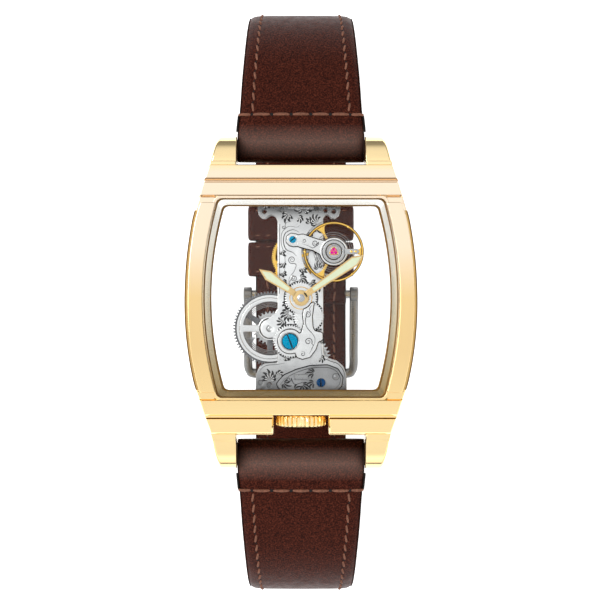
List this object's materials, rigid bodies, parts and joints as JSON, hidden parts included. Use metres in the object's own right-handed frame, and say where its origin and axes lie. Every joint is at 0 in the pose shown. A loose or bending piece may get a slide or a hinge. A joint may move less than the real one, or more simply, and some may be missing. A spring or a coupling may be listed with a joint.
{
  "type": "skeleton wristwatch",
  "caption": "Skeleton wristwatch: stepped gold barrel-shaped case, see-through front and back, narrow column movement with geared train, buckled leather strap.",
  "frame": {"origin": "centre of the bounding box, on the plane the strap keepers stand on", "axes": "+Z out of the dial towards the viewer, +Y towards 12 o'clock, +X towards 3 o'clock"},
  "size_m": [0.0362, 0.0976, 0.0392],
  "materials": {
    "gold_case": "polished yellow gold plating on steel",
    "gilt": "gilt brass, hands with pale luminous inlay",
    "rhodium": "rhodium plated, engraved with scrolls and leaves",
    "steel": "fine satin steel",
    "blued_steel": "heat-blued steel",
    "ruby": "polished synthetic ruby in a gilt setting",
    "crystal": "clear polished sapphire",
    "leather": "smooth brown calf with brown stitching",
    "gasket": "matt black seal"
  },
  "bodies": {
    "case": {"case_middle": "gold_case", "bezel": "gold_case", "front_crystal": "crystal", "front_gasket": "gasket", "inner_flange": "gold_case", "case_back": "gold_case", "back_crystal": "crystal", "back_gasket": "gasket", "case_back_screw_1": "gold_case", "case_back_screw_2": "gold_case", "case_back_screw_3": "gold_case", "case_back_screw_4": "gold_case", "crown_tube": "steel", "spring_bar_12": "steel", "spring_bar_6": "steel", "movement_clamp_12": "steel", "movement_clamp_6": "steel", "strap_12": "leather", "strap_6": "leather", "fixed_keeper": "leather", "buckle_bar": "steel", "main_plate": "rhodium", "train_bridge": "rhodium", "balance_cock": "rhodium", "motion_cover": "rhodium", "setting_cover": "rhodium", "balance_jewel": "ruby", "stud_carrier": "steel", "hairspring": "steel", "cock_screw": "blued_steel", "setting_wheel_screw": "blued_steel", "setting_cover_screw": "blued_steel", "click_spring": "steel"},
    "winding": {"winding_pinion": "steel", "clutch": "steel"},
    "crown_group": {"crown": "gold_case", "stem": "steel"},
    "crown_wheel_group": {"crown_wheel": "steel"},
    "ratchet_group": {"ratchet_wheel": "steel", "barrel_arbor": "steel"},
    "click_group": {"click": "steel"},
    "barrel_group": {"barrel_drum": "rhodium", "barrel_cover": "rhodium", "mainspring": "steel"},
    "centre_group": {"centre_wheel": "gilt", "cannon_pinion": "steel", "minute_hand": "gilt", "hand_cap": "steel"},
    "minute_group": {"minute_wheel": "steel"},
    "hour_group": {"hour_wheel": "steel", "hour_hand": "gilt"},
    "setting_group": {"setting_wheel": "steel"},
    "third_group": {"third_wheel": "gilt"},
    "fourth_group": {"fourth_wheel": "gilt"},
    "escape_group": {"escape_wheel": "steel"},
    "fork_group": {"pallet_fork": "steel"},
    "balance_group": {"balance_wheel": "gilt"},
    "free_keeper_group": {"free_keeper": "leather"},
    "buckle_group": {"buckle_frame": "steel"},
    "tongue_group": {"buckle_tongue": "steel"}
  },
  "joints": [
    {"name": "third_turn", "type": "hinge", "parent": "case", "child": "third_group", "pos_m": [-0.0013, 0.004, 0.03225], "axis": [0, 0, 1], "continuous": true},
    {"name": "centre_turn", "type": "hinge", "parent": "case", "child": "centre_group", "pos_m": [0, 0.0007, 0.0332], "axis": [0, 0, 1], "continuous": true},
    {"name": "barrel_turn", "type": "hinge", "parent": "case", "child": "barrel_group", "pos_m": [-0.00493, -0.00411, 0.0328], "axis": [0, 0, 1], "continuous": true},
    {"name": "fourth_turn", "type": "hinge", "parent": "case", "child": "fourth_group", "pos_m": [-0.00076, 0.00721, 0.03155], "axis": [0, 0, 1], "continuous": true},
    {"name": "escape_turn", "type": "hinge", "parent": "case", "child": "escape_group", "pos_m": [0.00195, 0.00403, 0.03196], "axis": [0, 0, 1], "continuous": true},
    {"name": "minute_turn", "type": "hinge", "parent": "case", "child": "minute_group", "pos_m": [0.00118, -0.00219, 0.0343], "axis": [0, 0, 1], "continuous": true},
    {"name": "hour_turn", "type": "hinge", "parent": "case", "child": "hour_group", "pos_m": [0, 0.0007, 0.03465], "axis": [0, 0, 1], "continuous": true},
    {"name": "setting_turn", "type": "hinge", "parent": "case", "child": "setting_group", "pos_m": [-0.00171, -0.00612, 0.0343], "axis": [0, 0, 1], "continuous": true},
    {"name": "fork_rock", "type": "hinge", "parent": "case", "child": "fork_group", "pos_m": [0.00246, 0.00693, 0.03196], "axis": [0, 0, 1], "range_deg": [-5, 5]},
    {"name": "balance_swing", "type": "hinge", "parent": "case", "child": "balance_group", "pos_m": [0.00518, 0.00802, 0.03355], "axis": [0, 0, 1], "range_deg": [-150, 150]},
    {"name": "crown_spin", "type": "hinge", "parent": "case", "child": "winding", "pos_m": [0, -0.0145, 0.0321], "axis": [0, 1, 0], "continuous": true},
    {"name": "crown_pull", "type": "slide", "parent": "winding", "child": "crown_group", "axis": [0, -1, 0], "range_m": [0, 0.001]},
    {"name": "crown_wheel_turn", "type": "hinge", "parent": "case", "child": "crown_wheel_group", "pos_m": [0, -0.0094, 0.03025], "axis": [0, 0, 1], "continuous": true},
    {"name": "ratchet_turn", "type": "hinge", "parent": "case", "child": "ratchet_group", "pos_m": [-0.00493, -0.00411, 0.03025], "axis": [0, 0, 1], "continuous": true},
    {"name": "click_lift", "type": "hinge", "parent": "case", "child": "click_group", "pos_m": [-0.0086, -0.0063, 0.03025], "axis": [0, 0, 1], "range_deg": [0, 12], "stiffness_Nm_per_rad": 0.0000001},
    {"name": "keeper_slide", "type": "slide", "parent": "case", "child": "free_keeper_group", "axis": [0, 1, 0], "range_m": [-0.0003, 0.003]},
    {"name": "buckle_swing", "type": "hinge", "parent": "case", "child": "buckle_group", "pos_m": [0, 0.0014, 0.0042], "axis": [1, 0, 0], "range_deg": [0, 4]},
    {"name": "tongue_swing", "type": "hinge", "parent": "buckle_group", "child": "tongue_group", "pos_m": [0, 0.0014, 0.0042], "axis": [1, 0, 0], "range_deg": [0, 4]}
  ],
  "couplings": [
    {"joint": "centre_turn", "follows": "third_turn", "ratio": -0.125},
    {"joint": "barrel_turn", "follows": "third_turn", "ratio": 0.025},
    {"joint": "fourth_turn", "follows": "third_turn", "ratio": -7.5},
    {"joint": "escape_turn", "follows": "third_turn", "ratio": 75},
    {"joint": "minute_turn", "follows": "third_turn", "ratio": 0.041667},
    {"joint": "hour_turn", "follows": "third_turn", "ratio": -0.010417},
    {"joint": "setting_turn", "follows": "third_turn", "ratio": -0.038462},
    {"joint": "crown_wheel_turn", "follows": "crown_spin", "ratio": -0.3913},
    {"joint": "ratchet_turn", "follows": "crown_spin", "ratio": 0.69231}
  ]
}
